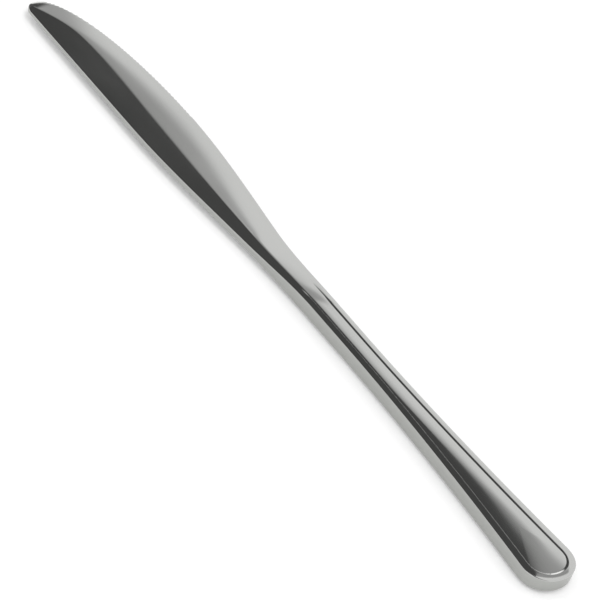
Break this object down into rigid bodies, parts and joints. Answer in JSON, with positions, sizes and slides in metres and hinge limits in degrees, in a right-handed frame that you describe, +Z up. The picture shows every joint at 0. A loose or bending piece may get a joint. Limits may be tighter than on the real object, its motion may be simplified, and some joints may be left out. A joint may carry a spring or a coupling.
{
  "type": "table knife",
  "caption": "One-piece stainless steel table knife with a finely serrated, convex cutting edge and a flat-sided handle with a rimmed, domed panel on each face.",
  "frame": {"origin": "On the table under the middle of the knife's bounding box, with the knife lying flat on the rim of its handle.", "axes": "+X runs from the butt of the handle to the tip of the blade, +Z is up, and the cutting edge faces -Y."},
  "size_m": [0.235, 0.0204, 0.0052],
  "materials": {
    "polished_stainless": "polished"
  },
  "bodies": {
    "root": {"knife": "polished_stainless"}
  },
  "joints": []
}
